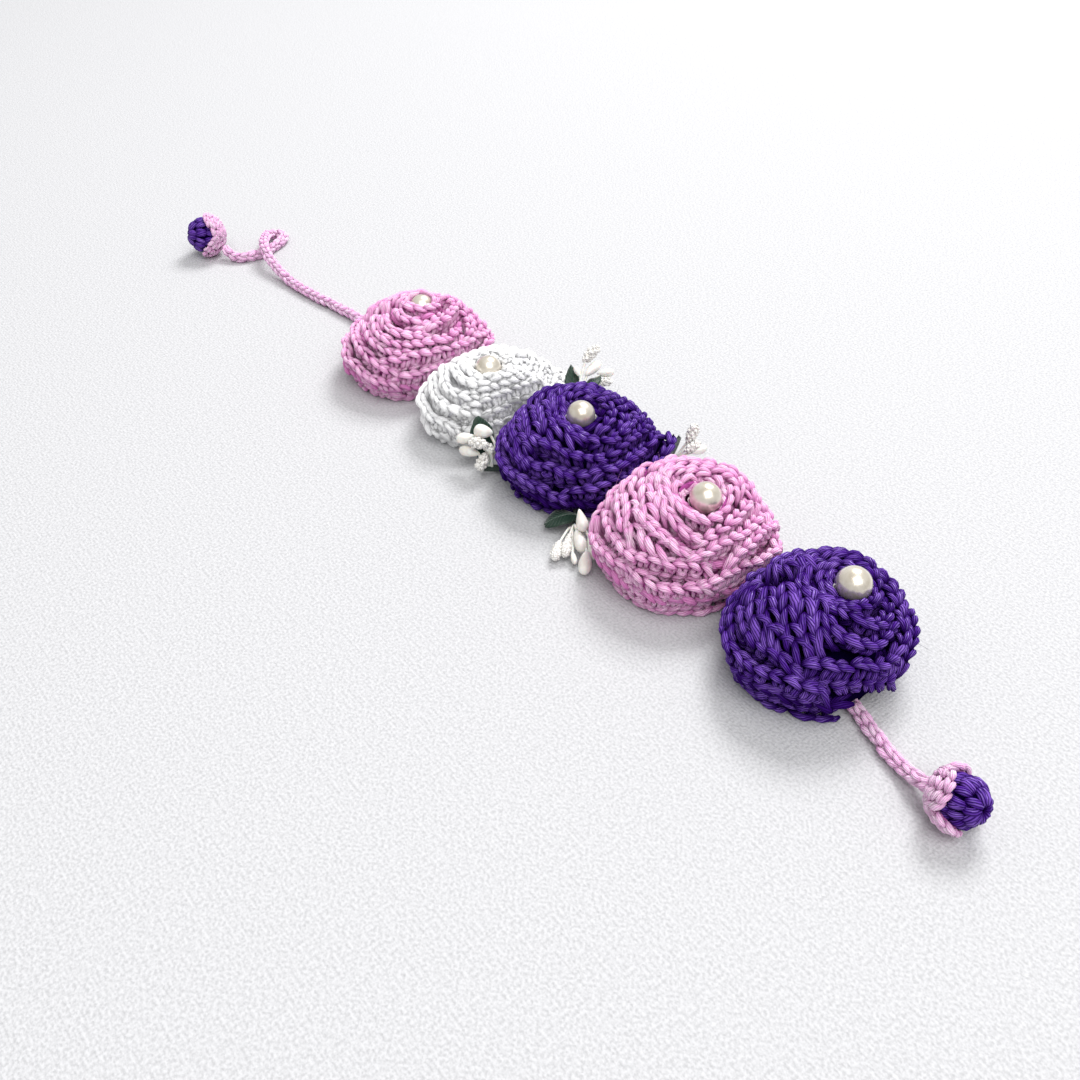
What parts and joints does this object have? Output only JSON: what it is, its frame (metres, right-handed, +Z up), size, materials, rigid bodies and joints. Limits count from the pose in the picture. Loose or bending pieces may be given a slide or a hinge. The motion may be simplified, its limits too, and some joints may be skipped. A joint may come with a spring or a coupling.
{
  "type": "crocheted rose gajra",
  "caption": "Crocheted rose garland for wrist or hair, laid out straight: layered yarn roses with pearl hearts on a band, craft stamen sprays, and tie cords ending in buds.",
  "frame": {"origin": "on the flat underside of the band, below the middle rose", "axes": "+X along the garland towards its short tie, +Z up from the surface it lies on, +Y across it"},
  "size_m": [0.328, 0.0602, 0.0276],
  "materials": {
    "pink_yarn": "mercerised cotton yarn, crocheted, light orchid pink",
    "purple_yarn": "mercerised cotton yarn, crocheted, deep violet",
    "white_yarn": "mercerised cotton yarn, crocheted, white",
    "bead_pearl": "cream pearl coat, glossy",
    "sewing_thread": "white sewing thread",
    "craft_stamen": "off-white moulded flower stamens, some sugared",
    "craft_leaf": "dark green satin craft leaf"
  },
  "bodies": {
    "root": {"bud_far_ball": "purple_yarn", "bud_far_calyx": "pink_yarn", "bud_near_ball": "purple_yarn", "bud_near_calyx": "pink_yarn", "pearl_1": "bead_pearl", "pearl_2": "bead_pearl", "pearl_3": "bead_pearl", "pearl_4": "bead_pearl", "pearl_5": "bead_pearl", "pearl_thread_1": "sewing_thread", "pearl_thread_2": "sewing_thread", "pearl_thread_3": "sewing_thread", "pearl_thread_4": "sewing_thread", "pearl_thread_5": "sewing_thread", "rose_1": "pink_yarn", "rose_2": "white_yarn", "rose_3": "purple_yarn", "rose_4": "pink_yarn", "rose_5": "purple_yarn", "rose_band": "pink_yarn", "spray_a_leaf_1": "craft_leaf", "spray_a_leaf_2": "craft_leaf", "spray_a_stamens": "craft_stamen", "spray_b_leaf_1": "craft_leaf", "spray_b_stamens": "craft_stamen", "spray_c_leaf_1": "craft_leaf", "spray_c_stamens": "craft_stamen", "spray_d_leaf_1": "craft_leaf", "spray_d_stamens": "craft_stamen", "tie_cord_far": "pink_yarn", "tie_cord_near": "pink_yarn"}
  },
  "joints": []
}
